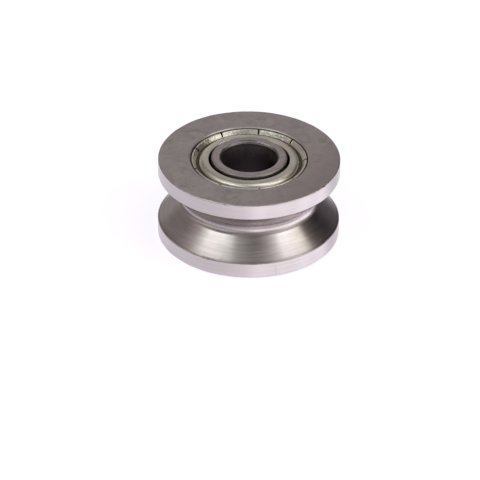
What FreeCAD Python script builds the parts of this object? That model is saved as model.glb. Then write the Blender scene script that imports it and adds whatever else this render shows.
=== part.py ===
import FreeCAD, Part
import math
import os

# V groove wheel, 4 x 13 x 6 mm: a single-row ball bearing whose outer ring is the
# grooved wheel. Millimetres. +Z is the wheel's axis, the origin is its centre, and
# the groove's middle plane is z = 0. The inner ring stands a little proud of the wheel's
# faces, so the wheel stands on the inner ring's lower face.

# wheel
WHEEL_R = 6.5  # outer radius over the two rim lands
HALF_W = 3.0  # half the width over the wheel's own faces
GROOVE_HALF_OPEN = 1.87  # half the groove's opening at the outer radius
GROOVE_ROUND = 0.60  # round of the groove's bottom, tangent to both flanks
FLANK_SLOPE = 1.0  # radius gained per unit of height: 45 degrees, a 90 degree V
LIP_BREAK = 0.06  # broken edge between flank and rim land
RIM_CHAMFER = 0.10  # between rim land and face

# recess for the shield in each face, depths measured down from the face
RECESS_EDGE_R = 4.27
RECESS_CHAMFER = 0.07
RECESS_WALL_R = 4.20
RECESS_LIP_DEPTH = 0.15  # below this the wall is undercut
UNDERCUT_R = 4.27
UNDERCUT_DEPTH = 0.22
SEAT_DEPTH = 0.45
SEAT_INNER_R = 3.95
OUTER_LAND_R = 3.85  # shoulder of the raceway in the wheel

# rolling elements and raceways
BALL_COUNT = 7
BALL_R = 0.794
PITCH_R = 3.30
RACE_CLEARANCE = 0.010  # between ball and each raceway's bottom
RACE_ARC_R = 0.842  # 53 percent of the ball's diameter
OUTER_RACE_R = PITCH_R + BALL_R + RACE_CLEARANCE
INNER_RACE_R = PITCH_R - BALL_R - RACE_CLEARANCE
OUTER_RACE_CENTRE_R = OUTER_RACE_R - RACE_ARC_R
INNER_RACE_CENTRE_R = INNER_RACE_R + RACE_ARC_R
FIRST_BALL_DEG = 12.0  # where the first ball stands at rest

# inner ring
HUB_HALF_W = 3.14  # half its length: 0.14 proud of each face of the wheel
BORE_R = 2.0
BORE_EDGE_ROUND = 0.26
INNER_LAND_R = 2.70
INNER_EDGE_ROUND = 0.14
RACE_LIP_BREAK = 0.03

# pressed shield, depths measured down from the face to the sheet's upper side
SHEET = 0.14
SHIELD_HOLE_R = 2.89
SHIELD_HOLE_BREAK = 0.035  # broken upper edge of the hole
SHIELD_PLATEAU_DEPTH = 0.075
SHIELD_SHOULDER_R = 3.43
SHIELD_SHOULDER_ROUND = 0.50
SHIELD_VALLEY_R = 3.635
SHIELD_VALLEY_W = 0.085
SHIELD_VALLEY_DEPTH = 0.40
SHIELD_CREST_R = 4.00
SHIELD_CREST_DEPTH = 0.055
SHIELD_CREST_ROUND = 0.10
SHIELD_RIM_TOP_R = 4.115  # passes inside the recess's lip with an open gap
SHIELD_RIM_ROUND = 0.07
SHIELD_RIM_R = 4.24  # foot of the rim, held under the lip
SLIT_COUNT = 9
SLIT_W = 0.13
SLIT_INNER_R = 3.80
UPPER_FIRST_SLIT_DEG = 40.5
LOWER_FIRST_SLIT_DEG = 22.0

# ribbon cage
CAGE_T = 0.14
CAGE_IN_R = 2.95
CAGE_OUT_R = 3.65
POCKET_R = BALL_R + 0.05
TAB_W = 0.45
TAB_REACH = 0.32


def vec(r, z):
    return FreeCAD.Vector(r, 0, z)


def rounded_edges(points, closed):
    """Edges of a path in the XZ half plane. A point is (r, z) or (r, z, fillet radius);
    a fillet is an arc tangent to both runs."""
    n = len(points)
    first = [vec(p[0], p[1]) for p in points]
    begin, end, arcs = list(first), list(first), {}
    inner = range(n) if closed else range(1, n - 1)
    for i in inner:
        if len(points[i]) < 3 or not points[i][2]:
            continue
        p, radius = first[i], points[i][2]
        a = (first[i - 1] - p).normalize()
        b = (first[(i + 1) % n] - p).normalize()
        half = math.acos(max(-1.0, min(1.0, a.dot(b)))) / 2
        back = radius / math.tan(half)
        start, stop = p + a * back, p + b * back
        centre = p + (a + b).normalize() * (radius / math.sin(half))
        middle = centre + (p - centre).normalize() * radius
        begin[i], end[i], arcs[i] = stop, start, (start, middle, stop)
    edges = []
    for i in range(n if closed else n - 1):
        j = (i + 1) % n
        if (end[j] - begin[i]).Length > 1e-7:
            edges.append(Part.LineSegment(begin[i], end[j]).toShape())
        if j in arcs:
            edges.append(Part.Arc(*arcs[j]).toShape())
    return edges


def turned(edges):
    """Solid of revolution about Z of a closed section."""
    face = Part.Face(Part.Wire(edges))
    solid = face.revolve(FreeCAD.Vector(0, 0, 0), FreeCAD.Vector(0, 0, 1), 360)
    solid = solid if solid.ShapeType == "Solid" else Part.Solid(solid.Shells[0])
    if solid.Volume < 0:
        solid.reverse()
    return solid


def arc_edge(a, middle, b):
    return Part.Arc(vec(*a), vec(*middle), vec(*b)).toShape()


def line_edges(points):
    return [
        Part.LineSegment(vec(*a), vec(*b)).toShape() for a, b in zip(points, points[1:])
    ]


def make_wheel():
    groove_root_r = WHEEL_R - GROOVE_HALF_OPEN * FLANK_SLOPE
    lip_back = LIP_BREAK / math.sqrt(2)

    def half(s):
        """From the flank over the rim and face to the raceway's lip, s = 1 up."""
        face = HALF_W
        return [
            (WHEEL_R - lip_back, s * (GROOVE_HALF_OPEN - lip_back)),
            (WHEEL_R, s * (GROOVE_HALF_OPEN + LIP_BREAK * 0.4)),
            (WHEEL_R, s * (face - RIM_CHAMFER)),
            (WHEEL_R - RIM_CHAMFER, s * face),
            (RECESS_EDGE_R, s * face),
            (RECESS_WALL_R, s * (face - RECESS_CHAMFER)),
            (RECESS_WALL_R, s * (face - RECESS_LIP_DEPTH)),
            (UNDERCUT_R, s * (face - UNDERCUT_DEPTH)),
            (UNDERCUT_R, s * (face - SEAT_DEPTH)),
            (SEAT_INNER_R, s * (face - SEAT_DEPTH)),
            (OUTER_LAND_R, s * (face - SEAT_DEPTH - (SEAT_INNER_R - OUTER_LAND_R))),
        ]

    lip_r = OUTER_LAND_R + RACE_LIP_BREAK
    lip_z = math.sqrt(RACE_ARC_R**2 - (lip_r - OUTER_RACE_CENTRE_R) ** 2)
    land_z = lip_z + RACE_LIP_BREAK
    up = half(1) + [(OUTER_LAND_R, land_z), (lip_r, lip_z)]
    down = half(-1) + [(OUTER_LAND_R, -land_z), (lip_r, -lip_z)]
    outside = rounded_edges(
        list(reversed(down)) + [(groove_root_r, 0, GROOVE_ROUND)] + up,
        closed=False,
    )
    race = arc_edge((lip_r, lip_z), (OUTER_RACE_R, 0), (lip_r, -lip_z))
    return turned(outside + [race])


def make_inner_ring():
    lip_r = INNER_LAND_R - RACE_LIP_BREAK
    lip_z = math.sqrt(RACE_ARC_R**2 - (INNER_RACE_CENTRE_R - lip_r) ** 2)
    land_z = lip_z + RACE_LIP_BREAK
    path = [
        (lip_r, -lip_z),
        (INNER_LAND_R, -land_z),
        (INNER_LAND_R, -HUB_HALF_W, INNER_EDGE_ROUND),
        (BORE_R, -HUB_HALF_W, BORE_EDGE_ROUND),
        (BORE_R, HUB_HALF_W, BORE_EDGE_ROUND),
        (INNER_LAND_R, HUB_HALF_W, INNER_EDGE_ROUND),
        (INNER_LAND_R, land_z),
        (lip_r, lip_z),
    ]
    race = arc_edge((lip_r, lip_z), (INNER_RACE_R, 0), (lip_r, -lip_z))
    return turned(rounded_edges(path, closed=False) + [race])


def offset_path(path, t):
    """The path moved sideways by t, to its right when walked, with mitred corners and
    fillets that keep the sheet's thickness."""
    pts = [vec(p[0], p[1]) for p in path]
    normals = []
    for a, b in zip(pts, pts[1:]):
        d = (b - a).normalize()
        normals.append(FreeCAD.Vector(d.z, 0, -d.x))
    out = []
    for i, p in enumerate(path):
        if i == 0 or i == len(path) - 1:
            q = pts[i] + normals[0 if i == 0 else -1] * t
            out.append((q.x, q.z))
            continue
        n1, n2 = normals[i - 1], normals[i]
        m = (n1 + n2).normalize()
        q = pts[i] + m * (t / m.dot(n1))
        # a right-hand turn has its centre on the side that the path moves to
        turn = n1.cross(n2).y
        radius = p[2] - t if turn > 0 else p[2] + t
        out.append((q.x, q.z, max(radius, 0)))
    return out


def make_shield():
    """Upper shield: flat ring near the inner ring, rounded shoulder, narrow valley, and
    a flared leg whose rolled rim passes the recess's lip and stands on the seat."""
    z = HALF_W
    pressed = [
        (SHIELD_HOLE_R, z - SHIELD_PLATEAU_DEPTH),
        (SHIELD_SHOULDER_R, z - SHIELD_PLATEAU_DEPTH, SHIELD_SHOULDER_ROUND),
        (SHIELD_VALLEY_R, z - SHIELD_VALLEY_DEPTH, 0.05),
        (SHIELD_VALLEY_R + SHIELD_VALLEY_W, z - SHIELD_VALLEY_DEPTH + 0.01, 0.05),
        (SHIELD_CREST_R, z - SHIELD_CREST_DEPTH, SHIELD_CREST_ROUND),
    ]
    rim = [
        (SHIELD_RIM_TOP_R, z - SHIELD_CREST_DEPTH - 0.005, SHIELD_RIM_ROUND),
        (SHIELD_RIM_R, z - SEAT_DEPTH),
    ]
    # the rim is rolled tight, so on the underside leg and rim meet in a sharp fold
    under = offset_path(pressed, SHEET)
    (r1, z1), (r2, z2) = under[-2][:2], under[-1][:2]
    rise = (z2 - z1) / (r2 - r1)
    flare = (SHIELD_RIM_R - SHIELD_RIM_TOP_R) / (SEAT_DEPTH - SHIELD_CREST_DEPTH - 0.005)
    foot_r, foot_z = SHIELD_RIM_R - SHEET, z - SEAT_DEPTH
    # where the leg's underside meets the rim's inner side
    fold_r = (foot_r + flare * (foot_z - z1 + rise * r1)) / (1 + flare * rise)
    fold_z = z1 + rise * (fold_r - r1)
    under = under[:-1] + [(fold_r, fold_z), (foot_r, foot_z)]
    hole_edge = [
        (SHIELD_HOLE_R, z - SHIELD_PLATEAU_DEPTH - SHIELD_HOLE_BREAK),
        (SHIELD_HOLE_R + SHIELD_HOLE_BREAK, z - SHIELD_PLATEAU_DEPTH),
    ]
    top = hole_edge + pressed[1:] + rim
    edges = rounded_edges(top, closed=False)
    edges += line_edges([top[-1][:2], under[-1][:2]])
    edges += rounded_edges(list(reversed(under)), closed=False)
    edges += line_edges([under[0][:2], top[0][:2]])
    return turned(edges)


def slit(shield, first_deg, z_low, z_high):
    """Open radial slits through the flared leg."""
    cutters = []
    for k in range(SLIT_COUNT):
        box = Part.makeBox(
            1.0,
            SLIT_W,
            z_high - z_low,
            FreeCAD.Vector(SLIT_INNER_R, -SLIT_W / 2, z_low),
        )
        box.rotate(
            FreeCAD.Vector(0, 0, 0),
            FreeCAD.Vector(0, 0, 1),
            first_deg + k * 360.0 / SLIT_COUNT,
        )
        cutters.append(box)
    return shield.cut(Part.makeCompound(cutters))


def ball_centres():
    for k in range(BALL_COUNT):
        a = math.radians(FIRST_BALL_DEG + k * 360.0 / BALL_COUNT)
        yield FreeCAD.Vector(PITCH_R * math.cos(a), PITCH_R * math.sin(a), 0)


def ring(r_in, r_out, z_low, height):
    at = FreeCAD.Vector(0, 0, z_low)
    return Part.makeCylinder(r_out, height, at).cut(
        Part.makeCylinder(r_in, height, at)
    )


def make_cage_half(s, tabs):
    """One pressed ribbon: flats that meet the other half at z = 0, and half pockets
    that bulge over the balls. s = 1 is the upper half."""
    band = ring(CAGE_IN_R, CAGE_OUT_R, 0 if s > 0 else -2, 2)
    pockets = None
    for c in ball_centres():
        shell = Part.makeSphere(POCKET_R + CAGE_T, c)
        pockets = shell if pockets is None else pockets.fuse(shell)
    half = pockets.common(band)
    half = half.fuse(ring(CAGE_IN_R, CAGE_OUT_R, 0 if s > 0 else -CAGE_T, CAGE_T))
    for c in ball_centres():
        half = half.cut(Part.makeSphere(POCKET_R, c))
    if tabs:
        # clinch tabs: down over the other half's edge and folded in under it
        for k in range(BALL_COUNT):
            post = Part.makeBox(
                CAGE_T + 0.05,
                TAB_W,
                3 * CAGE_T,
                FreeCAD.Vector(CAGE_OUT_R - 0.05, -TAB_W / 2, -2 * CAGE_T),
            )
            foot = Part.makeBox(
                TAB_REACH + CAGE_T,
                TAB_W,
                CAGE_T,
                FreeCAD.Vector(CAGE_OUT_R - TAB_REACH, -TAB_W / 2, -2 * CAGE_T),
            )
            tab = post.fuse(foot).common(ring(0.5, CAGE_OUT_R + CAGE_T, -1, 2))
            tab = tab.cut(ring(CAGE_IN_R, CAGE_OUT_R, -CAGE_T, CAGE_T))
            tab.rotate(
                FreeCAD.Vector(0, 0, 0),
                FreeCAD.Vector(0, 0, 1),
                FIRST_BALL_DEG + (k + 0.5) * 360.0 / BALL_COUNT,
            )
            half = half.fuse(tab)
    half = half.removeSplitter()
    return half.Solids[0]


def main():
    os.makedirs("parts", exist_ok=True)
    upper = make_shield()
    lower = upper.mirror(FreeCAD.Vector(0, 0, 0), FreeCAD.Vector(0, 0, 1))
    lower = Part.Solid(lower.Shells[0])
    if lower.Volume < 0:
        lower.reverse()
    parts = {
        "grooved_outer_ring": make_wheel(),
        "inner_ring": make_inner_ring(),
        "upper_shield": slit(upper, UPPER_FIRST_SLIT_DEG, 2.0, 3.2).Solids[0],
        "lower_shield": slit(lower, LOWER_FIRST_SLIT_DEG, -3.2, -2.0).Solids[0],
        "cage_upper_half": make_cage_half(1, True),
        "cage_lower_half": make_cage_half(-1, False),
    }
    for k, c in enumerate(ball_centres()):
        parts["ball_%d" % (k + 1)] = Part.makeSphere(BALL_R, c)
    for name, shape in parts.items():
        shape.exportStep("parts/%s.step" % name)


main()
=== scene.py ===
import math

import bmesh
import bpy
from mathutils import Matrix, Vector, noise


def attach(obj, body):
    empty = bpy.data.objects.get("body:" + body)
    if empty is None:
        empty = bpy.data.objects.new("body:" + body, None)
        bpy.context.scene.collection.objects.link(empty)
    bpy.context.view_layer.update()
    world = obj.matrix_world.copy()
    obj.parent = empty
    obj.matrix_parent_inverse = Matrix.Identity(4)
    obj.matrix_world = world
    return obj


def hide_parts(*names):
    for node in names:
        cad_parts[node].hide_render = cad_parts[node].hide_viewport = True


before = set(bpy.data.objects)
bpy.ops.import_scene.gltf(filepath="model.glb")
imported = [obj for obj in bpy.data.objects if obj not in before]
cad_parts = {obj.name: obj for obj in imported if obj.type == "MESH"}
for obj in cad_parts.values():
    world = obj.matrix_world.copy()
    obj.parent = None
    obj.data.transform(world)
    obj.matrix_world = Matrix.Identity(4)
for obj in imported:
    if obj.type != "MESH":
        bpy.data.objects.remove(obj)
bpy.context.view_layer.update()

MM = 0.001

# ---------------------------------------------------------------- sizes, mm
WHEEL_R = 6.497
HALF_W = 3.0
HUB_HALF_W = 3.14
GROOVE_HALF_OPEN = 1.87
THROAT_ROUND = 0.60  # round bottom of the V groove
RECESS_EDGE_R, RECESS_WALL_R, UNDERCUT_R = 4.27, 4.20, 4.27
SEAT_DEPTH, SEAT_INNER_R, OUTER_LAND_R = 0.45, 3.95, 3.85
OUTER_ARC = (3.262, 0.842)
BORE_R, INNER_LAND_R = 2.0, 2.70
INNER_ARC = (3.338, 0.842)
SHEET = 0.14
SLITS = 9
SLIT_W = 0.13
SLIT_IN_R = 3.80
SHIELD_CREST_R = 4.00
OUTER_LIP = (3.88, math.sqrt(0.842**2 - (3.88 - 3.262) ** 2))
INNER_LIP = (2.67, math.sqrt(0.842**2 - (3.338 - 2.67) ** 2))


# ---------------------------------------------------------------- small tools
def wobble(theta, freq, seed, octaves=3):
    """Smooth closed noise round the axis, about -1 to 1."""
    p = Vector((math.cos(theta) * freq, math.sin(theta) * freq, seed * 7.31))
    total, size = 0.0, 1.0
    for k in range(octaves):
        total += noise.noise(p * (2.03**k)) * size
        size *= 0.55
    return total * 1.25


def smooth(a, b, x):
    t = max(0.0, min(1.0, (x - a) / (b - a)))
    return t * t * (3 - 2 * t)


def bell(theta, at_deg, width_deg):
    d = (math.degrees(theta) - at_deg + 180) % 360 - 180
    return math.exp(-((d / width_deg) ** 2))


def rounded(points, plan, steps=3, support=0.014):
    """A closed section with rounded corners. A corner is (r, z, round, corner tag,
    tag of the run that follows). Gives [(r, z, tag of the strip that follows)].
    `plan` keeps the choices made at the first column, so that all columns match."""
    n = len(points)
    first = not plan
    out = []
    backs, arcs = [], []
    for i, (r, z, radius, _, _) in enumerate(points):
        p = Vector((r, z))
        a = (Vector(points[i - 1][:2]) - p).normalized()
        b = (Vector(points[(i + 1) % n][:2]) - p).normalized()
        turn = math.acos(max(-1.0, min(1.0, a.dot(b))))
        if first:
            plan.append([bool(radius) and turn < math.pi - 0.02, False])
        if plan[i][0]:
            back = radius / math.tan(turn / 2)
            centre = p + (a + b).normalized() * (radius / math.sin(turn / 2))
            backs.append(back)
            arcs.append((centre, p + a * back - centre, p + b * back - centre, math.pi - turn))
        else:
            backs.append(0.0)
            arcs.append(None)
    for i, (r, z, radius, corner_tag, run_tag) in enumerate(points):
        p = Vector((r, z))
        if arcs[i]:
            centre, v0, v1, sweep = arcs[i]
            for k in range(steps + 1):
                t = k / steps
                v = (v0 * math.sin((1 - t) * sweep) + v1 * math.sin(t * sweep)) / math.sin(sweep)
                out.append((centre.x + v.x, centre.y + v.y, corner_tag if k < steps else run_tag))
        else:
            out.append((p.x, p.y, run_tag))
        # a line close beside each end of a run keeps the shading of the run flat
        far = Vector(points[(i + 1) % n][:2]) - p
        room = far.length - backs[i] - backs[(i + 1) % n]
        if first:
            plan[i][1] = room > 3 * support
        if plan[i][1]:
            off = min(support, room * 0.3)
            d = far.normalized()
            for at in (backs[i] + off, far.length - backs[(i + 1) % n] - off):
                out.append((p.x + d.x * at, p.y + d.y * at, run_tag))
    return out


def add_mesh(name, verts, faces, slots, mats):
    me = bpy.data.meshes.new(name)
    me.from_pydata(verts, [], faces)
    for m in mats:
        me.materials.append(m)
    me.polygons.foreach_set("material_index", slots)
    me.validate()
    bm = bmesh.new()
    bm.from_mesh(me)
    if bm.calc_volume(signed=True) < 0:
        bmesh.ops.reverse_faces(bm, faces=bm.faces)
    bm.to_mesh(me)
    bm.free()
    me.polygons.foreach_set("use_smooth", [True] * len(me.polygons))
    me.update()
    ob = bpy.data.objects.new(name, me)
    bpy.context.scene.collection.objects.link(ob)
    return ob


def lathe(name, section_at, columns, tag_slots, mats):
    """Closed ring from a closed section that may change round the axis."""
    verts, faces, slots = [], [], []
    tags = None
    for j in range(columns):
        th = 2 * math.pi * j / columns
        c, s = math.cos(th), math.sin(th)
        sec = section_at(th)
        tags = tags or [p[2] for p in sec]
        verts += [(p[0] * c * MM, p[0] * s * MM, p[1] * MM) for p in sec]
    n = len(tags)
    for j in range(columns):
        a, b = j * n, ((j + 1) % columns) * n
        for i in range(n):
            k = (i + 1) % n
            faces.append((a + i, b + i, b + k, a + k))
            slots.append(tag_slots[tags[i]])
    return add_mesh(name, verts, faces, slots, mats)


# ---------------------------------------------------------------- node helper
class Nodes:
    def __init__(self, name):
        self.mat = bpy.data.materials.new(name)
        self.mat.use_nodes = True
        self.t = self.mat.node_tree
        self.t.nodes.clear()
        self.out = self.t.nodes.new("ShaderNodeOutputMaterial")

    def new(self, kind, **props):
        n = self.t.nodes.new(kind)
        for k, v in props.items():
            setattr(n, k, v)
        return n

    def put(self, value, socket):
        if isinstance(value, bpy.types.NodeSocket):
            self.t.links.new(value, socket)
        elif value is not None:
            socket.default_value = value

    def math(self, op, a, b=None, c=None, clamp=False):
        n = self.new("ShaderNodeMath", operation=op, use_clamp=clamp)
        for i, v in enumerate((a, b, c)):
            self.put(v, n.inputs[i])
        return n.outputs[0]

    def vec(self, x, y, z):
        n = self.new("ShaderNodeCombineXYZ")
        for i, v in enumerate((x, y, z)):
            self.put(v, n.inputs[i])
        return n.outputs[0]

    def noise(self, vector, scale, detail=2.0, rough=0.5, w=None, distortion=0.0):
        n = self.new("ShaderNodeTexNoise", noise_dimensions="4D" if w is not None else "3D")
        self.put(vector, n.inputs["Vector"])
        n.inputs["Scale"].default_value = scale
        n.inputs["Detail"].default_value = detail
        n.inputs["Roughness"].default_value = rough
        n.inputs["Distortion"].default_value = distortion
        if w is not None:
            self.put(w, n.inputs["W"])
        return n.outputs[0]

    def fit(self, value, a, b, c, d, how="LINEAR"):
        n = self.new("ShaderNodeMapRange", interpolation_type=how, clamp=True)
        for i, v in enumerate((value, a, b, c, d)):
            self.put(v, n.inputs[i])
        return n.outputs[0]

    def mix(self, fac, a, b, blend="MIX"):
        n = self.new("ShaderNodeMix", data_type="RGBA", blend_type=blend)
        self.put(fac, n.inputs["Factor"])
        for v, key in ((a, 6), (b, 7)):
            if not isinstance(v, bpy.types.NodeSocket):
                v = (*v, 1.0)
            self.put(v, n.inputs[key])
        return n.outputs[2]

    def bump(self, height, distance, strength=1.0, normal=None):
        n = self.new("ShaderNodeBump")
        n.inputs["Strength"].default_value = strength
        n.inputs["Distance"].default_value = distance
        self.put(height, n.inputs["Height"])
        if normal is not None:
            self.put(normal, n.inputs["Normal"])
        return n.outputs[0]

    def place(self):
        """Object coordinates in mm, and round-the-axis parts of them."""
        co = self.new("ShaderNodeTexCoord").outputs["Object"]
        scale = self.new("ShaderNodeVectorMath", operation="SCALE")
        self.put(co, scale.inputs[0])
        scale.inputs["Scale"].default_value = 1000.0
        self.mm = scale.outputs[0]
        sep = self.new("ShaderNodeSeparateXYZ")
        self.put(self.mm, sep.inputs[0])
        self.x, self.y, self.z = sep.outputs
        rr = self.math("ADD", self.math("MULTIPLY", self.x, self.x), self.math("MULTIPLY", self.y, self.y))
        self.r = self.math("MAXIMUM", self.math("SQRT", rr), 0.01)
        self.ux = self.math("DIVIDE", self.x, self.r)
        self.uy = self.math("DIVIDE", self.y, self.r)

    def lines(self, around, across, detail=2.0, rough=0.5, seed=0.0):
        """Noise drawn out into lines that run round the axis: `around` sets how many
        breaks a turn has, `across` how many lines stand in a millimetre."""
        v = self.vec(
            self.math("MULTIPLY", self.ux, around),
            self.math("MULTIPLY", self.uy, around),
            self.math("MULTIPLY_ADD", self.r, across, seed),
        )
        return self.noise(v, 1.0, detail, rough, w=self.math("MULTIPLY", self.z, across))

    def metal(self, base, rough, normal, aniso=0.0, coat=0.0):
        b = self.new("ShaderNodeBsdfPrincipled")
        b.inputs["Metallic"].default_value = 1.0
        self.put(base, b.inputs["Base Color"])
        self.put(rough, b.inputs["Roughness"])
        self.put(normal, b.inputs["Normal"])
        if aniso:
            b.inputs["Anisotropic"].default_value = aniso
            b.inputs["Anisotropic Rotation"].default_value = 0.25
            t = self.new("ShaderNodeTangent", direction_type="RADIAL", axis="Z")
            self.put(t.outputs[0], b.inputs["Tangent"])
        self.t.links.new(b.outputs[0], self.out.inputs["Surface"])
        return b


STEEL = (0.62, 0.565, 0.575)


def tone(c, k):
    return tuple(min(1.0, v * k) for v in c)


def face_steel(name, base=STEEL, seed=0.0, rough=0.40):
    """Flat ground face: a matte grain, faint crossing scratches, cloudy stain."""
    n = Nodes(name)
    n.place()
    cloud = n.noise(n.mm, 0.42, 3.0, 0.55)
    patch = n.noise(n.mm, 1.7, 4.0, 0.6, distortion=0.6)
    grain = n.noise(n.mm, 26.0, 3.0, 0.65)
    cross_a = n.noise(n.vec(n.math("MULTIPLY", n.x, 0.9), n.math("MULTIPLY", n.math("ADD", n.y, n.math("MULTIPLY", n.x, 0.35)), 17.0), n.math("MULTIPLY", n.z, 1.0)), 1.0, 3.0, 0.6)
    cross_b = n.noise(n.vec(n.math("MULTIPLY", n.math("ADD", n.x, n.math("MULTIPLY", n.y, -0.6)), 15.0), n.math("MULTIPLY", n.y, 1.1), n.math("MULTIPLY", n.z, 1.0)), 1.0, 3.0, 0.6)
    turned = n.lines(2.6, 9.0, 2.0, 0.55, seed)
    shade = n.math("MULTIPLY_ADD", cloud, 0.30, n.math("MULTIPLY_ADD", patch, 0.42, n.math("MULTIPLY", cross_a, 0.14)))
    tint = n.mix(n.fit(shade, 0.30, 0.56, 0.0, 1.0), tone(base, 0.80), tone(base, 1.10))
    # soft smudges
    smudge = n.fit(n.noise(n.mm, 0.95, 2.0, 0.5, distortion=1.2), 0.56, 0.72, 0.0, 1.0, "SMOOTHSTEP")
    tint = n.mix(n.math("MULTIPLY", smudge, 0.40), tint, (0.36, 0.31, 0.305))
    # darker and browner towards +X and -Y
    warm = n.fit(n.math("ADD", n.math("MULTIPLY", n.x, 0.9), n.math("MULTIPLY_ADD", n.y, -0.5, n.math("MULTIPLY", cloud, 3.0))), 4.2, 8.2, 0.0, 0.55, "SMOOTHSTEP")
    tint = n.mix(warm, tint, (0.46, 0.385, 0.375))
    roughness = n.math("MULTIPLY_ADD", n.math("SUBTRACT", patch, 0.5), 0.22, n.math("MULTIPLY_ADD", n.math("SUBTRACT", grain, 0.5), 0.16, rough))
    height = n.math("MULTIPLY_ADD", grain, 0.6, n.math("MULTIPLY_ADD", n.math("ADD", cross_a, cross_b), 0.6, n.math("MULTIPLY", turned, 0.5)))
    n.metal(tint, roughness, n.bump(height, 2.6e-6), 0.0)
    return n.mat


def rim_steel(name):
    """Outer rim: ground nearly to a mirror, with fine lines round the axis."""
    n = Nodes(name)
    n.place()
    fine = n.lines(3.0, 42.0, 2.0, 0.55)
    broad = n.lines(1.6, 7.0, 2.0, 0.5, 3.0)
    smear = n.noise(n.mm, 1.1, 3.0, 0.5)
    tint = n.mix(n.fit(broad, 0.35, 0.65, 0.0, 1.0), tone(STEEL, 1.15), tone(STEEL, 1.24))
    # a few faint upright scuffs from other parts in the bag
    v = n.vec(n.math("MULTIPLY", n.ux, 26.0), n.math("MULTIPLY", n.uy, 26.0), n.math("MULTIPLY", n.z, 0.35))
    scuff = n.fit(n.noise(v, 1.0, 1.0, 0.4), 0.72, 0.78, 0.0, 0.7, "SMOOTHSTEP")
    # one upright scratch on the lower rim
    at = math.radians(-73.6)
    side = n.math("MULTIPLY_ADD", n.ux, -math.sin(at), n.math("MULTIPLY", n.uy, math.cos(at)))
    side = n.math("ABSOLUTE", n.math("MULTIPLY_ADD", n.z, 0.010, side))
    line = n.fit(side, 0.004, 0.009, 1.0, 0.0, "SMOOTHSTEP")
    line = n.math("MULTIPLY", line, n.fit(n.z, -2.05, -2.2, 0.0, 1.0))
    line = n.math("MULTIPLY", line, n.fit(n.uy, 0.0, -0.2, 0.0, 1.0))
    scuff = n.math("MAXIMUM", scuff, line)
    tint = n.mix(n.math("MULTIPLY", scuff, 0.35), tint, tone(STEEL, 0.72))
    roughness = n.math("MULTIPLY_ADD", fine, 0.07, n.math("MULTIPLY_ADD", smear, 0.08, n.math("MULTIPLY_ADD", scuff, 0.12, 0.07)))
    n.metal(tint, roughness, n.bump(n.math("MULTIPLY_ADD", broad, 0.8, fine), 1.1e-6), 0.35)
    return n.mat


def groove_steel(name, base=STEEL, rough=0.22, lines=1.0, aniso=0.35, worn_lip=0.0):
    """Groove flank: ground round the axis, so it shows fine drawn-out lines. `worn_lip`
    is how much rougher it is at the lip than at the bottom."""
    n = Nodes(name)
    n.place()
    coarse = n.lines(2.2, 5.0, 2.0, 0.5, 11.0)
    mid = n.lines(4.0, 14.0, 2.0, 0.55, 5.0)
    fine = n.lines(6.0, 48.0, 1.0, 0.5)
    worn = n.noise(n.mm, 1.3, 3.0, 0.55)
    shade = n.math("MULTIPLY_ADD", mid, 0.5, n.math("MULTIPLY", coarse, 0.5))
    tint = n.mix(n.fit(shade, 0.36, 0.64, 0.0, 1.0), tone(base, 0.90), tone(base, 1.12))
    # dull line beside the lip, where the grinding wheel did not reach
    dull = n.fit(n.math("MULTIPLY_ADD", n.math("SUBTRACT", worn, 0.5), 0.10, n.r), 6.33, 6.40, 0.0, 0.45, "SMOOTHSTEP")
    tint = n.mix(dull, tint, tone(base, 0.40))
    dulled = n.math("ADD", rough, n.fit(n.r, 4.95, 6.45, 0.0, worn_lip))
    roughness = n.math("MULTIPLY_ADD", n.math("SUBTRACT", mid, 0.5), 0.20, n.math("MULTIPLY_ADD", n.math("SUBTRACT", worn, 0.5), 0.10, dulled))
    height = n.math("MULTIPLY_ADD", coarse, 0.5, n.math("MULTIPLY_ADD", mid, 0.6, n.math("MULTIPLY", fine, 0.25)))
    n.metal(tint, roughness, n.bump(height, 3.0e-6 * lines), aniso)
    return n.mat


def edge_steel(name, bright=1.0, rough=0.12, mouth_shade_r=None):
    """Broken edges: a little hammered, unevenly polished. `mouth_shade_r` is the radius inside
    which an oily film and a painted shade darken the bore's mouth."""
    n = Nodes(name)
    n.place()
    dents = n.noise(n.mm, 3.2, 3.0, 0.6, distortion=0.4)
    bits = n.noise(n.mm, 14.0, 2.0, 0.5)
    tint = n.mix(n.fit(dents, 0.35, 0.65, 0.0, 1.0), tone(STEEL, 0.92 * bright), tone(STEEL, 1.20 * bright))
    if mouth_shade_r:
        patch = n.noise(n.mm, 1.5, 3.0, 0.6)
        # the darkening, an oily film and a painted shade, spreads over the whole round at the +Y side
        spread = n.fit(n.math("MULTIPLY_ADD", n.ux, -0.06, n.uy), 0.925, 0.985, 0.0, -0.11, "SMOOTHSTEP")
        reach = n.math("ADD", n.math("MULTIPLY_ADD", n.math("SUBTRACT", patch, 0.5), 0.30, n.r), spread)
        film_and_shade = n.fit(reach, mouth_shade_r - 0.05, mouth_shade_r + 0.06, 0.85, 0.0, "SMOOTHSTEP")
        tint = n.mix(film_and_shade, tint, (0.22, 0.205, 0.20))
    roughness = n.math("MULTIPLY_ADD", bits, 0.22, n.math("MULTIPLY_ADD", dents, 0.2, rough))
    n.metal(tint, roughness, n.bump(n.math("MULTIPLY_ADD", bits, 0.35, dents), 2.0e-5), 0.0)
    return n.mat


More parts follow.
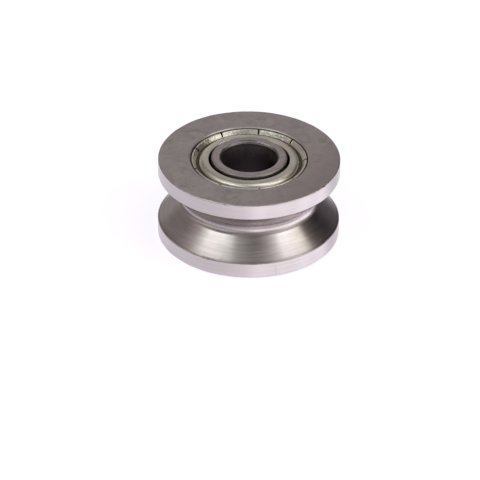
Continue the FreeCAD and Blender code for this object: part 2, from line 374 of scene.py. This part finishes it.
def inner_steel(name, base=(0.30, 0.285, 0.28), rough=0.33, deep_shade=None):
    """Turned inner surfaces that stay a little oily and dark, in the bore a painted shade; `deep_shade`
    is a painted shade, the darker tone away from the ends."""
    n = Nodes(name)
    n.place()
    rings = n.lines(2.0, 12.0, 2.0, 0.5)
    film_and_shade = n.noise(n.mm, 2.1, 3.0, 0.6)
    tint = n.mix(n.fit(film_and_shade, 0.35, 0.7, 0.0, 1.0), base, tone(base, 0.55))
    if deep_shade:
        # painted shade: darker away from the ends, deep in the hole
        tint = n.mix(n.fit(n.math("ABSOLUTE", n.z), 2.7, 1.6, 0.0, 1.0, "SMOOTHSTEP"), tint, deep_shade)
    roughness = n.math("MULTIPLY_ADD", rings, 0.2, n.math("MULTIPLY_ADD", film_and_shade, -0.16, rough))
    n.metal(tint, roughness, n.bump(n.math("MULTIPLY_ADD", film_and_shade, 0.5, rings), 3.5e-6), 0.3)
    return n.mat


def shield_steel(name):
    """Pressed sheet: warm nickel tone, draw lines, orange-peel where it was bent."""
    n = Nodes(name)
    n.place()
    base = (0.91, 0.887, 0.79)
    peel = n.noise(n.mm, 5.5, 3.0, 0.6)
    fine = n.noise(n.mm, 30.0, 2.0, 0.5)
    roll = n.noise(n.vec(n.math("MULTIPLY", n.x, 1.2), n.math("MULTIPLY", n.y, 22.0), n.math("MULTIPLY", n.z, 4.0)), 1.0, 2.0, 0.5)
    drawn = n.lines(2.4, 10.0, 2.0, 0.5, 2.0)
    cloud = n.noise(n.mm, 0.9, 3.0, 0.55)
    tint = n.mix(n.fit(n.math("MULTIPLY_ADD", cloud, 0.6, n.math("MULTIPLY", roll, 0.4)), 0.36, 0.64, 0.0, 1.0), tone(base, 0.86), tone(base, 1.10))
    # painted shade: dark in the valley and under the rim
    low = n.fit(n.math("ABSOLUTE", n.z), 2.63, 2.74, 1.0, 0.0, "SMOOTHSTEP")
    tint = n.mix(n.math("MULTIPLY", low, 0.92), tint, (0.10, 0.09, 0.06))
    leg = n.fit(n.r, 3.66, 3.82, 0.25, 1.0, "SMOOTHSTEP")
    uneven = n.math("MULTIPLY_ADD", n.math("SUBTRACT", peel, 0.5), 0.24, n.math("MULTIPLY", n.math("SUBTRACT", fine, 0.5), 0.10))
    roughness = n.math("MULTIPLY_ADD", uneven, leg, n.fit(n.r, 3.30, 3.50, 0.265, 0.225))
    height = n.math("ADD", n.math("MULTIPLY", n.math("MULTIPLY", peel, leg), 6.0), n.math("MULTIPLY_ADD", n.math("MULTIPLY", fine, leg), 0.25, n.math("MULTIPLY_ADD", roll, 0.3, n.math("MULTIPLY", drawn, 0.7))))
    n.metal(tint, roughness, n.bump(height, 3.2e-6), 0.0)
    return n.mat


def cage_steel(name):
    n = Nodes(name)
    n.place()
    oil = n.noise(n.mm, 3.0, 3.0, 0.6)
    fine = n.noise(n.mm, 24.0, 2.0, 0.5)
    tint = n.mix(n.fit(oil, 0.35, 0.7, 0.0, 1.0), (0.42, 0.39, 0.33), (0.24, 0.20, 0.14))
    roughness = n.math("MULTIPLY_ADD", fine, 0.2, n.math("MULTIPLY_ADD", oil, -0.2, 0.40))
    n.metal(tint, roughness, n.bump(n.math("MULTIPLY_ADD", fine, 0.4, oil), 6.0e-6))
    return n.mat


def ball_steel(name):
    n = Nodes(name)
    n.place()
    oil = n.noise(n.mm, 2.2, 3.0, 0.5)
    lap = n.noise(n.mm, 60.0, 2.0, 0.5)
    tint = n.mix(n.fit(oil, 0.4, 0.7, 0.0, 1.0), (0.66, 0.64, 0.63), (0.52, 0.47, 0.40))
    roughness = n.math("MULTIPLY_ADD", lap, 0.05, n.math("MULTIPLY_ADD", oil, 0.10, 0.03))
    n.metal(tint, roughness, n.bump(lap, 3.0e-7))
    return n.mat


MAT_FACE = face_steel("steel_ground_face", tone(STEEL, 1.10))
MAT_HUB_FACE = face_steel("steel_hub_face", tone(STEEL, 1.07), 4.0, 0.36)
MAT_RIM = rim_steel("steel_ground_rim")
MAT_FLANK = groove_steel("steel_groove_flank", tone(STEEL, 0.92), 0.085, 0.7, 0.25, 0.13)
# painted shade: the upper flank gets a darker, browner copy of the groove steel
MAT_FLANK_UP_SHADED = groove_steel("steel_groove_upper_painted_shade", tuple(a * b for a, b in zip(STEEL, (0.655, 0.59, 0.575))), 0.22, 0.12, 0.25)
MAT_THROAT = groove_steel("steel_groove_throat", tone(STEEL, 0.91), 0.27, 0.12, 0.20)
MAT_EDGE = edge_steel("steel_broken_edge", 1.0, 0.12)
# the bore's mouth gets an oily film and painted shade inside 2.12 mm
MAT_MOUTH = edge_steel("steel_bore_mouth", 1.08, 0.08, 2.12)
# painted shade: the hub's rounded edge is toned darker than the other broken edges, against the highlight it catches
MAT_HUB_EDGE = edge_steel("steel_hub_edge", 0.72, 0.26)
MAT_RECESS = inner_steel("steel_recess", (0.41, 0.365, 0.32), 0.40)
MAT_RACE = groove_steel("steel_raceway", STEEL, 0.10, 0.2, 0.2)
# painted shade: the bore is toned dark, darker still away from its ends
MAT_BORE = inner_steel("steel_bore", (0.26, 0.235, 0.235), 0.50, (0.118, 0.094, 0.096))
MAT_SHIELD = shield_steel("pressed_shield_sheet")
MAT_CAGE = cage_steel("pressed_cage_sheet")
MAT_BALL = ball_steel("ball_steel_polished")


# ---------------------------------------------------------------- grooved ring
RING_PLAN = []


def ring_section(th):
    def half(s):
        seed = 1.0 if s > 0 else 2.0
        # the rim's edges were broken on a rubbing wheel, so their width wanders
        ch = 0.050 + 0.014 * wobble(th, 5.0, seed) + 0.010 * wobble(th, 26.0, seed + 4)
        lip = 0.056 + 0.018 * wobble(th, 6.0, seed + 8) + 0.014 * wobble(th, 30.0, seed + 9)
        if s > 0:
            ch += 0.050 * bell(th, -33.6, 1.6) + 0.045 * bell(th, -104.2, 1.0)
            ch += 0.034 * smooth(-0.35, 0.4, wobble(th, 14.0, 3.3)) * bell(th, -120, 17)
        else:
            lip += 0.052 * smooth(-0.3, 0.5, wobble(th, 15.0, 5.1)) * bell(th, -122, 17)
        ch = max(0.026, ch)
        lip = max(0.022, lip)
        g = GROOVE_HALF_OPEN
        back = lip * 0.7
        root = WHEEL_R - g
        centre = root + THROAT_ROUND * math.sqrt(2)
        # the upper flank takes the darker copy of the groove steel, a painted shade
        flank = "flank_up_shaded" if s > 0 else "flank"
        rows = []
        # the groove's round bottom, then the flank
        for k in range(1, 13):
            t = math.radians(45.0 * k / 12)
            tag = flank if k == 12 else "throat"
            rows.append((centre - THROAT_ROUND * math.cos(t), s * THROAT_ROUND * math.sin(t), 0.0, tag, tag))
        rows += [
            (WHEEL_R - back, s * (g - back), 0.020, "edge", "edge"),
            (WHEEL_R, s * (g + lip * 0.45), 0.020, "edge", "land"),
            (WHEEL_R, s * (HALF_W - ch), 0.022, "edge", "edge"),
            (WHEEL_R - ch, s * HALF_W, 0.022, "edge", "face"),
            (RECESS_EDGE_R, s * HALF_W, 0.018, "edge", "edge"),
            (RECESS_WALL_R, s * (HALF_W - 0.07), 0.010, "recess", "recess"),
            (RECESS_WALL_R, s * (HALF_W - 0.15), 0.010, "recess", "recess"),
            (UNDERCUT_R, s * (HALF_W - 0.22), 0.0, "recess", "recess"),
            (UNDERCUT_R, s * (HALF_W - SEAT_DEPTH), 0.0, "recess", "recess"),
            (SEAT_INNER_R, s * (HALF_W - SEAT_DEPTH), 0.0, "recess", "recess"),
            (OUTER_LAND_R, s * (HALF_W - SEAT_DEPTH - 0.10), 0.0, "recess", "recess"),
            (OUTER_LAND_R, s * (OUTER_LIP[1] + 0.03), 0.0, "recess", "recess"),
            (OUTER_LIP[0], s * OUTER_LIP[1], 0.0, "race", "race"),
        ]
        return rows

    up, down = half(1), half(-1)
    pts = list(up)
    a = math.atan2(OUTER_LIP[1], OUTER_LIP[0] - OUTER_ARC[0])
    for k in range(1, 16):
        t = a - 2 * a * k / 16
        pts.append(
            (OUTER_ARC[0] + OUTER_ARC[1] * math.cos(t), OUTER_ARC[1] * math.sin(t), 0.0, "race", "race")
        )
    # the lower half is walked back to the groove, so each run takes the tag before it
    for i in range(len(down) - 1, -1, -1):
        r, z, radius, corner, _ = down[i]
        pts.append((r, z, radius, corner, down[i - 1][4] if i else "throat"))
    root = WHEEL_R - GROOVE_HALF_OPEN
    pts.append((root + THROAT_ROUND * (math.sqrt(2) - 1), 0.0, 0.0, "throat", "throat"))
    return rounded(pts, RING_PLAN)


RING_SLOTS = {"face": 0, "land": 1, "flank": 2, "throat": 3, "edge": 4, "recess": 5, "race": 6, "flank_up_shaded": 7}
ring = lathe(
    "wheel_ring",
    ring_section,
    512,
    RING_SLOTS,
    [MAT_FACE, MAT_RIM, MAT_FLANK, MAT_THROAT, MAT_EDGE, MAT_RECESS, MAT_RACE, MAT_FLANK_UP_SHADED],
)
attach(ring, "wheel")
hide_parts("grooved_outer_ring")


# ---------------------------------------------------------------- inner ring
HUB_PLAN = []


def hub_section(th):
    def half(s):
        seed = 21.0 if s > 0 else 22.0
        mouth = 0.255 + 0.014 * wobble(th, 2.0, seed) + 0.006 * wobble(th, 9.0, seed + 5)
        ed = 0.130 + 0.008 * wobble(th, 6.0, seed + 7)
        return [
            (INNER_LIP[0], s * INNER_LIP[1], 0.0, "race", "recess"),
            (INNER_LAND_R, s * (INNER_LIP[1] + 0.03), 0.0, "recess", "recess"),
            (INNER_LAND_R, s * HUB_HALF_W, ed, "outer", "face"),
            (BORE_R, s * HUB_HALF_W, mouth, "mouth", "bore"),
        ]

    up, down = half(1), half(-1)
    pts = list(up)
    for i in range(len(down) - 1, -1, -1):
        r, z, radius, corner, _ = down[i]
        pts.append((r, z, radius, corner, down[i - 1][4] if i else "race"))
    a = math.atan2(INNER_LIP[1], INNER_ARC[0] - INNER_LIP[0])
    for k in range(1, 16):
        t = -a + 2 * a * k / 16
        pts.append(
            (INNER_ARC[0] - INNER_ARC[1] * math.cos(t), INNER_ARC[1] * math.sin(t), 0.0, "race", "race")
        )
    return rounded(pts, HUB_PLAN, steps=10)


hub = lathe(
    "hub_ring",
    hub_section,
    480,
    {"face": 0, "mouth": 1, "outer": 2, "bore": 3, "recess": 4, "race": 5},
    [MAT_HUB_FACE, MAT_MOUTH, MAT_HUB_EDGE, MAT_BORE, MAT_RECESS, MAT_RACE],
)
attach(hub, "hub")
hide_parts("inner_ring")


# ---------------------------------------------------------------- shields
def fillet_line(points, arc_step=0.020):
    """Open path with rounded corners. A point is (r, z, round, longest step on the run
    that follows). [(r, z)] and the row at which each corner begins."""
    out, rows, backs = [], [], []
    for i, (r, z, radius, _) in enumerate(points):
        back = 0.0
        if 0 < i < len(points) - 1 and radius:
            p = Vector((r, z))
            a = (Vector(points[i - 1][:2]) - p).normalized()
            b = (Vector(points[i + 1][:2]) - p).normalized()
            back = radius / math.tan(math.acos(max(-1.0, min(1.0, a.dot(b)))) / 2)
        backs.append(back)
    for i, (r, z, radius, step) in enumerate(points):
        p = Vector((r, z))
        rows.append(len(out))
        if backs[i]:
            a = (Vector(points[i - 1][:2]) - p).normalized()
            b = (Vector(points[i + 1][:2]) - p).normalized()
            turn = math.acos(max(-1.0, min(1.0, a.dot(b))))
            centre = p + (a + b).normalized() * (radius / math.sin(turn / 2))
            v0, v1 = p + a * backs[i] - centre, p + b * backs[i] - centre
            sweep = math.pi - turn
            parts = max(3, math.ceil(sweep * radius / arc_step))
            for k in range(parts + 1):
                t = k / parts
                v = (v0 * math.sin((1 - t) * sweep) + v1 * math.sin(t * sweep)) / math.sin(sweep)
                out.append(centre + v)
        else:
            out.append(p)
        if i < len(points) - 1:
            q = Vector(points[i + 1][:2])
            d = q - p
            start, stop = backs[i], d.length - backs[i + 1]
            parts = math.ceil((stop - start) / step)
            for k in range(1, parts):
                out.append(p + d.normalized() * (start + (stop - start) * k / parts))
    return out, rows


# upper side of the pressed sheet, from its hole to the foot of its rim
SHIELD_TOP = [
    (2.89, 2.89, 0, 0.03),
    (2.925, 2.925, 0, 0.06),
    (3.43, 2.925, 0.50, 0.03),
    (3.635, 2.60, 0.05, 0.02),
    (3.72, 2.61, 0.05, 0.022),
    (SHIELD_CREST_R, 2.942, 0.10, 0.02),
    (4.115, 2.936, 0.07, 0.04),
    (4.238, 2.552, 0, 0.04),
]


def build_shield(name, side, first_deg, seed):
    line, rows_at = fillet_line(SHIELD_TOP)
    n = len(line)
    normal = []
    for i in range(n):
        q = (line[min(i + 1, n - 1)] - line[max(i - 1, 0)]).normalized()
        normal.append(Vector((-q.y, q.x)))
    # underside: the sheet's thickness below, then a tight fold under the rolled rim
    under = [p - m * SHEET for p, m in zip(line, normal)]
    # flat under the broken edge of the hole
    for i, p in enumerate(line):
        if p.x < 3.0:
            under[i] = Vector((p.x, 2.925 - SHEET))
    crest = rows_at[next(i for i, q in enumerate(SHIELD_TOP) if q[0] == SHIELD_CREST_R)]
    foot = Vector((4.238 - SHEET, 2.552))
    leg = (under[crest] - under[crest - 3]).normalized()
    flare = Vector((-0.123, 0.384)).normalized()
    # where the leg's underside meets the rim's inner side
    d = foot - under[crest - 3]
    along = (d.x * flare.y - d.y * flare.x) / (leg.x * flare.y - leg.y * flare.x)
    fold = under[crest - 3] + leg * along
    a, b = under[crest - 3], foot
    span_a, span_b = (fold - a).length, (foot - fold).length
    for i in range(crest - 3, n):
        t = (i - crest + 3) / (n - 1 - crest + 3) * (span_a + span_b)
        under[i] = a + leg * t if t < span_a else fold + (b - fold) * ((t - span_a) / span_b)

    first_slit_row = next(i for i, p in enumerate(line) if p.x >= SLIT_IN_R)
    tab_cols = 64
    slit_cols = 4
    cols = []  # (slit or tab, which, its angle, share across it)
    pitch = 2 * math.pi / SLITS
    for k in range(SLITS):
        at = math.radians(first_deg) + k * pitch
        for c in range(slit_cols):  # the slit itself, from its low edge
            cols.append(("slit", k, at, c / slit_cols))
        for c in range(tab_cols):
            cols.append(("tab", k, at, c / tab_cols))
    verts, faces = [], []

    def angle(col, r):
        kind, k, at, share = col
        h = math.asin(SLIT_W / 2 / max(r, SLIT_IN_R))
        if kind == "slit":
            return at - h + 2 * h * share
        return at + h + (pitch - 2 * h) * share

    for col in cols:
        kind, k, at, share = col
        tab = (k * 3.7 + seed) % 10.0
        # how each tab was struck: height, tilt and a ripple; nothing at the slit's root
        lift = 0.016 * noise.noise(Vector((tab, 1.7, seed)))
        tilt = 0.024 * noise.noise(Vector((tab, 8.3, seed)))
        moves = []
        for i, p in enumerate(line):
            th = angle(col, p.x)
            on_leg = smooth(3.72, 3.98, p.x)
            ripple = 0.014 * noise.noise(Vector((math.cos(th) * 9.0, math.sin(th) * 9.0, p.x * 2.2 + seed)))
            ripple += 0.007 * noise.noise(Vector((math.cos(th) * 23.0, math.sin(th) * 23.0, p.x * 5.0 + seed)))
            # some tabs took several blows of the crimping tool
            if k in (0, 1, 2):
                blows = (0.017, 0.004, 0.010)[k]
                ripple += blows * noise.noise(Vector((math.cos(th) * 38.0, math.sin(th) * 38.0, p.x * 7.0 - seed)))
            move = on_leg * (ripple + (lift + tilt * (share - 0.5) * 2) * (1.0 if kind == "tab" else 0.0))
            if kind == "tab":
                # corners of a tab are pinched down a little by the crimping punch
                edge = max(smooth(0.12, 0.0, share), smooth(0.88, 1.0, share))
                move -= on_leg * 0.016 * edge
            move += 0.004 * wobble(th, 3.0, seed + 3) * smooth(3.5, 3.0, p.x)
            # the foot stays on its seat
            moves.append(move * smooth(2.56, 2.85, p.y) if p.x > 4.08 else move)
        for pts in (line, under):
            for i, p in enumerate(pts):
                th = angle(col, line[i].x)
                z = min(p.y + moves[i], 2.975)
                verts.append((p.x * math.cos(th) * MM, p.x * math.sin(th) * MM, side * z * MM))
    per = 2 * n
    total = len(cols)

    def v(c, i, lower):
        return (c % total) * per + (n if lower else 0) + i

    for c in range(total):
        is_slit = cols[c][0] == "slit"
        last = first_slit_row if is_slit else n - 1
        for i in range(last):
            faces.append((v(c, i, 0), v(c + 1, i, 0), v(c + 1, i + 1, 0), v(c, i + 1, 0)))
            faces.append((v(c, i, 1), v(c, i + 1, 1), v(c + 1, i + 1, 1), v(c + 1, i, 1)))
        # inner edge of the sheet, and its outer end or the slit's root
        faces.append((v(c, 0, 1), v(c + 1, 0, 1), v(c + 1, 0, 0), v(c, 0, 0)))
        faces.append((v(c, last, 0), v(c + 1, last, 0), v(c + 1, last, 1), v(c, last, 1)))
        if is_slit and cols[c][3] == 0:  # wall on the slit's low side
            for i in range(first_slit_row, n - 1):
                faces.append((v(c, i, 0), v(c, i, 1), v(c, i + 1, 1), v(c, i + 1, 0)))
        if not is_slit and cols[c][3] == 0:  # wall on the slit's high side
            for i in range(first_slit_row, n - 1):
                faces.append((v(c, i, 1), v(c, i, 0), v(c, i + 1, 0), v(c, i + 1, 1)))
    used = sorted({i for f in faces for i in f})
    remap = {old: new for new, old in enumerate(used)}
    faces = [tuple(remap[i] for i in f) for f in faces]
    verts = [verts[i] for i in used]
    ob = add_mesh(name, verts, faces, [0] * len(faces), [MAT_SHIELD])
    me = ob.data
    bm = bmesh.new()
    bm.from_mesh(me)
    bmesh.ops.recalc_face_normals(bm, faces=bm.faces)
    for e in bm.edges:
        if len(e.link_faces) == 2 and e.calc_face_angle(0.0) > math.radians(40):
            e.smooth = False
    bm.to_mesh(me)
    bm.free()
    return ob


for name, node, side, first, seed in (
    ("shield_top", "upper_shield", 1, 40.5, 1.3),
    ("shield_bottom", "lower_shield", -1, 22.0, 6.1),
):
    piece = build_shield(name, side, first, seed)
    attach(piece, "wheel")
    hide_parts(node)

for node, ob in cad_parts.items():
    mat = MAT_CAGE if node.startswith("cage") else MAT_BALL if node.startswith("ball") else None
    if mat:
        for slot in ob.material_slots:
            slot.material = mat
        # closes the seams at the spheres' poles, where two corners share one point
        weld = ob.modifiers.new("weld", "WELD")
        weld.merge_threshold = 1e-7


# ---------------------------------------------------------------- studio
def softbox(name, toward, distance, width, height, radiance, colour):
    data = bpy.data.lights.new(name, "AREA")
    data.shape = "RECTANGLE"
    data.size, data.size_y = width, height
    data.color = colour
    data.energy = radiance * math.pi * width * height
    ob = bpy.data.objects.new(name, data)
    d = Vector(toward).normalized()
    ob.location = d * distance
    ob.rotation_mode = "QUATERNION"
    ob.rotation_quaternion = d.to_track_quat("Z", "Y")
    ob.visible_camera = False
    bpy.context.scene.collection.objects.link(ob)
    return ob


softbox("softbox_top", (-0.12, 0.10, 1.0), 1.2, 0.9, 0.9, 0.150, (1.00, 1.00, 1.00))

world = bpy.data.worlds.new("studio")
bpy.context.scene.world = world
world.use_nodes = True
wt = world.node_tree
wt.nodes.clear()
w_dir = wt.nodes.new("ShaderNodeTexCoord").outputs["Generated"]
w_col = None


def w_math(op, a, b=None, c=None):
    m = wt.nodes.new("ShaderNodeMath")
    m.operation = op
    for i, v in enumerate((a, b, c)):
        if isinstance(v, bpy.types.NodeSocket):
            wt.links.new(v, m.inputs[i])
        elif v is not None:
            m.inputs[i].default_value = v
    return m.outputs[0]


def glow(toward, sharp, colour):
    """Adds one large soft light, a smooth patch of the studio's surroundings."""
    global w_col
    dot = wt.nodes.new("ShaderNodeVectorMath")
    dot.operation = "DOT_PRODUCT"
    wt.links.new(w_dir, dot.inputs[0])
    dot.inputs[1].default_value = toward
    k = w_math("EXPONENT", w_math("MULTIPLY_ADD", dot.outputs["Value"], sharp, -sharp))
    add = wt.nodes.new("ShaderNodeVectorMath")
    add.operation = "MULTIPLY_ADD"
    wt.links.new(k, add.inputs[0])
    add.inputs[1].default_value = colour
    if w_col is None:
        add.inputs[2].default_value = (0.0, 0.0, 0.0)
    else:
        wt.links.new(w_col, add.inputs[2])
    w_col = add.outputs[0]


# soft lights: direction, sharpness, colour
SOFT_LIGHTS = [
    ((0.945, -0.253, -0.208), 26, (1.722, 1.784, 1.819)),
    ((0.945, 0.253, -0.208), 26, (1.764, 1.651, 1.765)),
    ((0.253, -0.945, -0.208), 26, (1.541, 1.488, 1.488)),
    ((0.692, -0.692, -0.208), 26, (1.418, 1.367, 1.303)),
    ((0.324, -0.187, 0.927), 26, (1.290, 1.192, 1.174)),
    ((-0.445, -0.402, 0.800), 230, (1.171, 1.230, 1.144)),
    ((-0.552, -0.323, 0.769), 230, (1.116, 1.150, 1.101)),
    ((-0.644, -0.231, 0.730), 230, (1.116, 1.155, 1.092)),
    ((0.775, -0.012, 0.631), 230, (1.144, 1.164, 1.026)),
    ((0.644, -0.231, 0.730), 230, (1.071, 1.079, 1.073)),
    ((0.719, -0.126, 0.684), 230, (1.055, 1.060, 0.992)),
    ((0.552, -0.323, 0.769), 230, (1.011, 1.043, 1.013)),
    ((-0.620, -0.778, 0.105), 26, (0.769, 0.768, 0.755)),
    ((-0.327, -0.462, 0.824), 230, (0.751, 0.786, 0.740)),
    ((-0.896, -0.432, 0.105), 26, (0.769, 0.726, 0.619)),
    ((0.865, -0.213, 0.454), 26, (0.747, 0.675, 0.587)),
    ((0.667, -0.591, 0.454), 26, (0.669, 0.638, 0.681)),
    ((-0.669, 0.000, 0.743), 26, (0.641, 0.576, 0.566)),
    ((0.896, -0.432, 0.105), 26, (0.612, 0.588, 0.481)),
    ((-0.324, -0.187, 0.927), 26, (0.512, 0.487, 0.502)),
    ((-0.207, -0.636, 0.743), 26, (0.465, 0.468, 0.439)),
    ((0.541, 0.393, 0.743), 26, (0.499, 0.392, 0.416)),
    ((-0.995, 0.000, 0.105), 26, (0.500, 0.412, 0.415)),
    ((-0.253, -0.945, -0.208), 26, (0.426, 0.349, 0.335)),
    ((-0.221, 0.970, 0.105), 26, (0.366, 0.371, 0.378)),
    ((-0.719, -0.126, 0.684), 230, (0.348, 0.416, 0.343)),
    ((-0.221, -0.970, 0.105), 26, (0.341, 0.322, 0.340)),
    ((0.253, 0.945, -0.208), 26, (0.308, 0.291, 0.318)),
    ((0.316, -0.833, 0.454), 26, (0.322, 0.283, 0.280)),
    ((-0.541, 0.393, 0.743), 26, (0.288, 0.276, 0.257)),
    ((0.445, -0.402, 0.800), 230, (0.266, 0.258, 0.255)),
    ((-0.620, 0.778, 0.105), 26, (0.263, 0.259, 0.236)),
    ((-0.107, 0.885, 0.454), 26, (0.282, 0.246, 0.227)),
    ((0.316, 0.833, 0.454), 26, (0.230, 0.221, 0.218)),
    ((0.207, 0.636, 0.743), 26, (0.198, 0.197, 0.177)),
    ((-0.253, 0.945, -0.208), 26, (0.200, 0.167, 0.159)),
    ((0.324, 0.187, 0.927), 26, (0.158, 0.201, 0.202)),
    ((-0.896, 0.432, 0.105), 26, (0.196, 0.170, 0.162)),
    ((-0.207, 0.636, 0.743), 26, (0.151, 0.148, 0.174)),
    ((-0.789, 0.414, 0.454), 26, (0.146, 0.128, 0.124)),
    ((-0.692, 0.692, -0.208), 26, (0.138, 0.109, 0.138)),
    ((-0.107, -0.885, 0.454), 26, (0.084, 0.069, 0.088)),
    ((0.620, 0.778, 0.105), 26, (0.085, 0.074, 0.077)),
    ((-0.506, -0.733, 0.454), 26, (0.059, 0.046, 0.046)),
    ((0.541, -0.393, 0.743), 26, (0.047, 0.060, 0.047)),
]
for toward, sharp, colour in SOFT_LIGHTS:
    glow(toward, sharp, colour)

# pale ground below the horizon, mirrored by the rims
GROUND = (0.710, 0.692, 0.739)
sep = wt.nodes.new("ShaderNodeSeparateXYZ")
wt.links.new(w_dir, sep.inputs[0])
fall = wt.nodes.new("ShaderNodeMapRange")
fall.interpolation_type = "SMOOTHSTEP"
wt.links.new(sep.outputs["Z"], fall.inputs[0])
fall.inputs[1].default_value, fall.inputs[2].default_value = -0.22, -0.40
add = wt.nodes.new("ShaderNodeVectorMath")
add.operation = "MULTIPLY_ADD"
wt.links.new(fall.outputs[0], add.inputs[0])
add.inputs[1].default_value = GROUND
wt.links.new(w_col, add.inputs[2])
w_col = add.outputs[0]

bg = wt.nodes.new("ShaderNodeBackground")
wt.links.new(w_col, bg.inputs["Color"])
pale = wt.nodes.new("ShaderNodeBackground")
pale.inputs["Color"].default_value = (1.0, 1.0, 1.0, 1)
rays = wt.nodes.new("ShaderNodeLightPath")
pick = wt.nodes.new("ShaderNodeMixShader")
wt.links.new(rays.outputs["Is Camera Ray"], pick.inputs[0])
wt.links.new(bg.outputs[0], pick.inputs[1])
wt.links.new(pale.outputs[0], pick.inputs[2])
w_out = wt.nodes.new("ShaderNodeOutputWorld")
wt.links.new(pick.outputs[0], w_out.inputs["Surface"])

# pale floor, like a light table: it also lights the wheel a little from below
FLOOR_GLOW = 0.74
n = Nodes("pale_floor")
n.place()
b = n.new("ShaderNodeBsdfPrincipled")
b.inputs["Roughness"].default_value = 0.8
b.inputs["Specular IOR Level"].default_value = 0.2
speck = n.noise(n.mm, 0.05, 2.0, 0.5)
n.put(n.mix(speck, (0.84, 0.84, 0.88), (0.86, 0.86, 0.90)), b.inputs["Base Color"])
b.inputs["Emission Color"].default_value = (0.92, 0.90, 1.0, 1.0)
b.inputs["Emission Strength"].default_value = FLOOR_GLOW
n.t.links.new(b.outputs[0], n.out.inputs["Surface"])
bm = bmesh.new()
bmesh.ops.create_circle(bm, cap_ends=True, segments=96, radius=1.4)
bmesh.ops.translate(bm, verts=bm.verts, vec=(0, 0, -HUB_HALF_W * MM - 2e-6))
me = bpy.data.meshes.new("floor")
bm.to_mesh(me)
bm.free()
me.materials.append(n.mat)
floor = bpy.data.objects.new("floor", me)
bpy.context.scene.collection.objects.link(floor)
# polished steel mirrors the studio's own pale ground instead, see GROUND
floor.visible_glossy = False

# ---------------------------------------------------------------- camera
ELEV, ROLL, DIST = math.radians(31.84), math.radians(0.74), 0.400
F_PX, U0, V0 = 5588.8, 248.75, 193.63
fwd = Vector((0, math.cos(ELEV), -math.sin(ELEV)))
right = Vector((1, 0, 0))
up = right.cross(fwd)
r2 = right * math.cos(ROLL) + up * math.sin(ROLL)
u2 = -right * math.sin(ROLL) + up * math.cos(ROLL)
ray = Vector(((U0 - 240) / F_PX, (V0 - 240) / F_PX, 1)).normalized()
turn = Vector((0, 0, 1)).rotation_difference(ray).to_matrix()
axes = turn @ Matrix((r2, -u2, fwd))  # rows: the camera's right, down and forward
cam_data = bpy.data.cameras.new("camera")
cam_data.lens = F_PX * 36.0 / 480.0
cam_data.sensor_width = 36.0
cam_data.sensor_fit = "HORIZONTAL"
cam_data.clip_start, cam_data.clip_end = 0.02, 5.0
cam = bpy.data.objects.new("camera", cam_data)
bpy.context.scene.collection.objects.link(cam)
basis = Matrix((axes[0], -axes[1], -axes[2])).transposed()
cam.matrix_world = Matrix.Translation(-fwd * DIST) @ basis.to_4x4()
bpy.context.scene.camera = cam

scene = bpy.context.scene
scene.view_settings.view_transform = "Standard"
scene.view_settings.look = "None"
